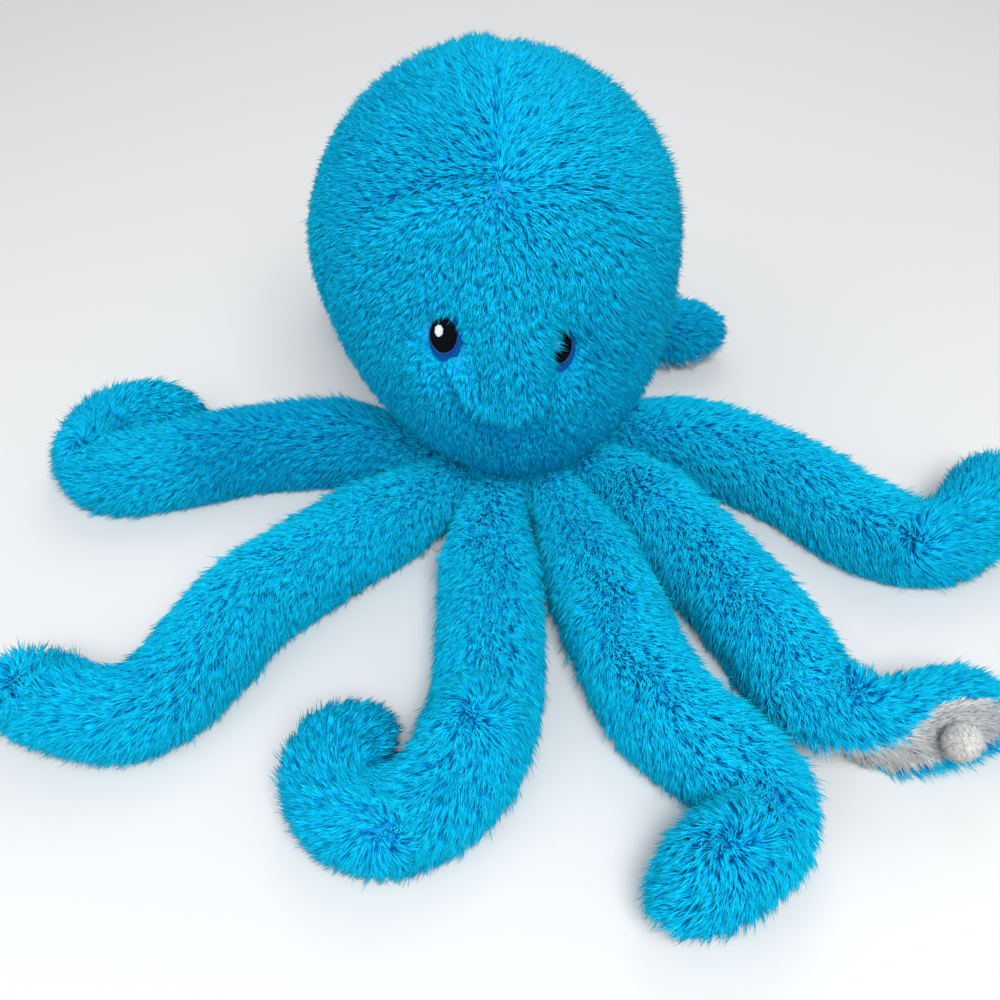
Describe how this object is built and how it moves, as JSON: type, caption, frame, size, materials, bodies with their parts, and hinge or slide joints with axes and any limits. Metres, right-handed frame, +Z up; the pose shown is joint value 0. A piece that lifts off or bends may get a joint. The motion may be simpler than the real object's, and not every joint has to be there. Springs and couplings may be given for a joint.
{
  "type": "plush octopus",
  "caption": "Shaggy stuffed octopus soft toy, lying on spread arms that lift at their root seams, with a pear-shaped head that tilts on its base.",
  "frame": {"origin": "on the floor, at the centre of the underside disc and of the ring of arms", "axes": "+Z up, the face looks along -Y, +X to the right of someone who faces the toy"},
  "size_m": [0.5076, 0.4929, 0.2192],
  "materials": {
    "head_fur": "short dense plush fur, cyan blue",
    "arm_fur": "long shaggy plush fur, azure blue",
    "underside_plush": "short pale grey plush",
    "fibre_fill": "white polyester fibre",
    "pompom_yarn": "fluffy off-white yarn",
    "iris_thread": "satin embroidery, royal blue",
    "pupil_thread": "satin embroidery, black",
    "highlight_thread": "satin embroidery, white"
  },
  "bodies": {
    "base": {"underside_disc": "underside_plush", "base_stuffing": "fibre_fill"},
    "head": {"face_panel": "head_fur", "head_panel_left": "head_fur", "head_panel_right": "head_fur", "head_stuffing": "fibre_fill", "eye_left_iris": "iris_thread", "eye_left_pupil": "pupil_thread", "eye_left_highlight": "highlight_thread", "eye_right_iris": "iris_thread", "eye_right_pupil": "pupil_thread", "eye_right_highlight": "highlight_thread"},
    "arm_left": {"arm_left_top": "arm_fur", "arm_left_underside": "underside_plush", "arm_left_stuffing": "fibre_fill", "arm_left_pompom": "pompom_yarn"},
    "arm_front_left": {"arm_front_left_top": "arm_fur", "arm_front_left_underside": "underside_plush", "arm_front_left_stuffing": "fibre_fill", "arm_front_left_pompom": "pompom_yarn"},
    "arm_front": {"arm_front_top": "arm_fur", "arm_front_underside": "underside_plush", "arm_front_stuffing": "fibre_fill", "arm_front_pompom": "pompom_yarn"},
    "arm_front_right": {"arm_front_right_top": "arm_fur", "arm_front_right_underside": "underside_plush", "arm_front_right_stuffing": "fibre_fill", "arm_front_right_pompom": "pompom_yarn"},
    "arm_right_front": {"arm_right_front_top": "arm_fur", "arm_right_front_underside": "underside_plush", "arm_right_front_stuffing": "fibre_fill", "arm_right_front_pompom": "pompom_yarn"},
    "arm_right": {"arm_right_top": "arm_fur", "arm_right_underside": "underside_plush", "arm_right_stuffing": "fibre_fill", "arm_right_pompom": "pompom_yarn"},
    "arm_back_right": {"arm_back_right_top": "arm_fur", "arm_back_right_underside": "underside_plush", "arm_back_right_stuffing": "fibre_fill", "arm_back_right_pompom": "pompom_yarn"},
    "arm_back_left": {"arm_back_left_top": "arm_fur", "arm_back_left_underside": "underside_plush", "arm_back_left_stuffing": "fibre_fill", "arm_back_left_pompom": "pompom_yarn"}
  },
  "joints": [
    {"name": "head_tilt", "type": "hinge", "parent": "base", "child": "head", "pos_m": [0, 0, 0.014], "axis": [1, 0, 0], "range_deg": [-10, 10], "stiffness_Nm_per_rad": 2, "springref_deg": 0.74},
    {"name": "arm_left_lift", "type": "hinge", "parent": "base", "child": "arm_left", "pos_m": [-0.04599, 0.0008, 0.013], "axis": [0.0175, 0.9998, 0], "range_deg": [-30, 30]},
    {"name": "arm_front_left_lift", "type": "hinge", "parent": "base", "child": "arm_front_left", "pos_m": [-0.03575, -0.02895, 0.013], "axis": [-0.6293, 0.7771, 0], "range_deg": [-30, 30]},
    {"name": "arm_front_lift", "type": "hinge", "parent": "base", "child": "arm_front", "pos_m": [-0.01074, -0.04473, 0.013], "axis": [-0.9724, 0.2334, 0], "range_deg": [-30, 30]},
    {"name": "arm_front_right_lift", "type": "hinge", "parent": "base", "child": "arm_front_right", "pos_m": [0.02088, -0.04099, 0.013], "axis": [-0.891, -0.454, 0], "range_deg": [-20, 20]},
    {"name": "arm_right_front_lift", "type": "hinge", "parent": "base", "child": "arm_right_front", "pos_m": [0.04234, -0.01797, 0.013], "axis": [-0.3907, -0.9205, 0], "range_deg": [-20, 20]},
    {"name": "arm_right_lift", "type": "hinge", "parent": "base", "child": "arm_right", "pos_m": [0.04422, 0.01268, 0.013], "axis": [0.2756, -0.9613, 0], "range_deg": [-30, 30]},
    {"name": "arm_back_right_lift", "type": "hinge", "parent": "base", "child": "arm_back_right", "pos_m": [0.02768, 0.03674, 0.013], "axis": [0.7986, -0.6018, 0], "range_deg": [-30, 20]},
    {"name": "arm_back_left_lift", "type": "hinge", "parent": "base", "child": "arm_back_left", "pos_m": [-0.01797, 0.04234, 0.013], "axis": [0.9205, 0.3907, 0], "range_deg": [-30, 20]}
  ]
}
